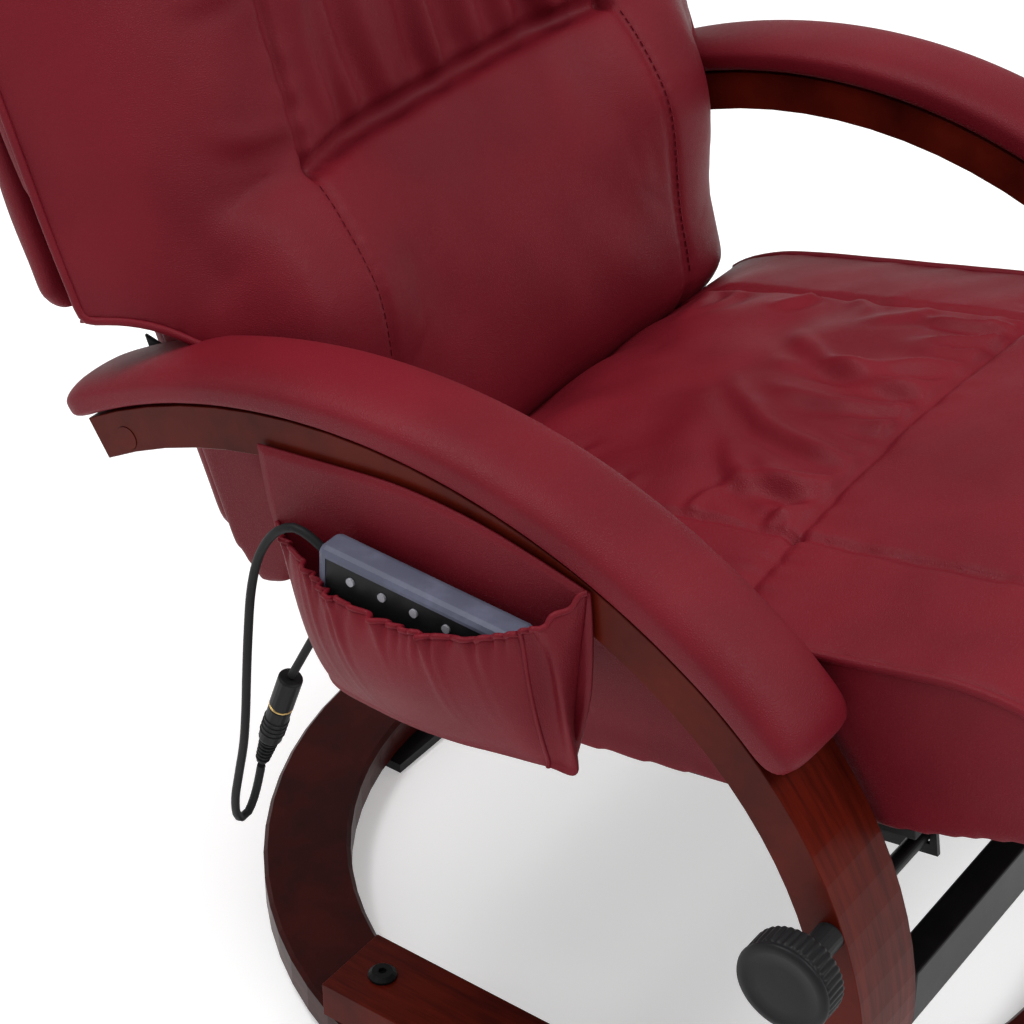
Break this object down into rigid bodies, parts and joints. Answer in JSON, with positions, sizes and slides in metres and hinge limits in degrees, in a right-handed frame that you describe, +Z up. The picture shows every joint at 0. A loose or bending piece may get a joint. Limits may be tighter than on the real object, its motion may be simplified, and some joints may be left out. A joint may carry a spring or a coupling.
{
  "type": "massage recliner armchair",
  "caption": "Reclining massage armchair: quilted faux-leather seat and back on bentwood C-arms over a wooden ring base, with a clamp knob and a wired remote in a side pocket.",
  "frame": {"origin": "on the floor under the middle of the rear foot, 269.7 mm behind the centre of the base ring", "axes": "+Z up, the chair faces -Y, the sitter's right arm with the clamp knob and the pocket is at -X"},
  "size_m": [0.677, 0.8093, 0.9752],
  "materials": {
    "leather": "satin, fine pebble grain",
    "wood": "dark mahogany lacquer, semi-gloss",
    "black_steel": "satin black powder coat",
    "zinc": "zinc plated",
    "brass": "turned",
    "black_plastic": "satin black",
    "cord_black": "soft PVC sheath",
    "remote_grey": "slate blue-grey, satin",
    "button_grey": "pale grey, matte",
    "plywood": "bare plywood",
    "panel_black": "black dust cloth over board"
  },
  "bodies": {
    "frame": {"base_ring": "wood", "foot_front": "black_plastic", "foot_left": "black_plastic", "foot_right": "black_plastic", "foot_rear": "black_plastic", "arm_right": "wood", "arm_left": "wood", "arm_pad_right": "leather", "arm_pad_left": "leather", "base_bolt_right_1": "black_steel", "base_bolt_right_2": "black_steel", "base_bolt_left_1": "black_steel", "base_bolt_left_2": "black_steel", "arm_plug_right": "wood", "arm_plug_left": "wood", "pivot_bolt_right": "black_steel", "pivot_bolt_left": "black_steel", "pivot_washer_right": "zinc", "pivot_washer_left": "zinc", "front_cross_tube": "black_steel", "clamp_rod": "black_steel", "clamp_sleeve": "black_plastic", "clamp_nut": "black_steel", "side_pocket": "leather", "remote_shell": "remote_grey", "remote_face": "black_plastic", "remote_cord": "cord_black", "cord_plug_relief": "black_plastic", "cord_plug": "black_plastic", "inline_socket": "black_plastic", "socket_lead": "cord_black", "control_box": "black_plastic", "power_inlet": "black_plastic"},
    "knob": {"clamp_knob": "black_plastic", "knob_insert": "brass"},
    "back": {"back_cushion": "leather", "back_wing_right": "leather", "back_wing_left": "leather", "back_panel": "plywood", "back_rear_cover": "leather", "back_bracket_right": "black_steel", "back_bracket_left": "black_steel", "back_motor_1": "black_plastic", "back_motor_2": "black_plastic", "back_motor_3": "black_plastic", "back_motor_4": "black_plastic"},
    "seat": {"seat_cushion": "leather", "seat_panel": "panel_black", "seat_rail_right": "black_steel", "seat_rail_left": "black_steel", "seat_motor_1": "black_plastic", "seat_motor_2": "black_plastic"},
    "button_1": {"remote_button_1": "button_grey"},
    "button_2": {"remote_button_2": "button_grey"},
    "button_3": {"remote_button_3": "button_grey"},
    "button_4": {"remote_button_4": "button_grey"},
    "button_5": {"remote_button_5": "button_grey"}
  },
  "joints": [
    {"name": "recline", "type": "hinge", "parent": "frame", "child": "back", "pos_m": [0, -0.032, 0.433], "axis": [-1, 0, 0], "range_deg": [0, 28]},
    {"name": "seat_slide", "type": "slide", "parent": "frame", "child": "seat", "axis": [0, -0.9874, 0.1582], "range_m": [0, 0.0565]},
    {"name": "knob_turn", "type": "hinge", "parent": "frame", "child": "knob", "pos_m": [0, -0.5217, 0.305], "axis": [-1, 0, 0], "range_deg": [0, 360]},
    {"name": "button_1_press", "type": "slide", "parent": "frame", "child": "button_1", "axis": [1, 0, 0], "range_m": [0, 0.001], "stiffness_N_per_m": 250},
    {"name": "button_2_press", "type": "slide", "parent": "frame", "child": "button_2", "axis": [1, 0, 0], "range_m": [0, 0.001], "stiffness_N_per_m": 250},
    {"name": "button_3_press", "type": "slide", "parent": "frame", "child": "button_3", "axis": [1, 0, 0], "range_m": [0, 0.001], "stiffness_N_per_m": 250},
    {"name": "button_4_press", "type": "slide", "parent": "frame", "child": "button_4", "axis": [1, 0, 0], "range_m": [0, 0.001], "stiffness_N_per_m": 250},
    {"name": "button_5_press", "type": "slide", "parent": "frame", "child": "button_5", "axis": [1, 0, 0], "range_m": [0, 0.001], "stiffness_N_per_m": 250}
  ],
  "couplings": [
    {"joint": "seat_slide", "follows": "recline", "m_per_rad": 0.115}
  ]
}
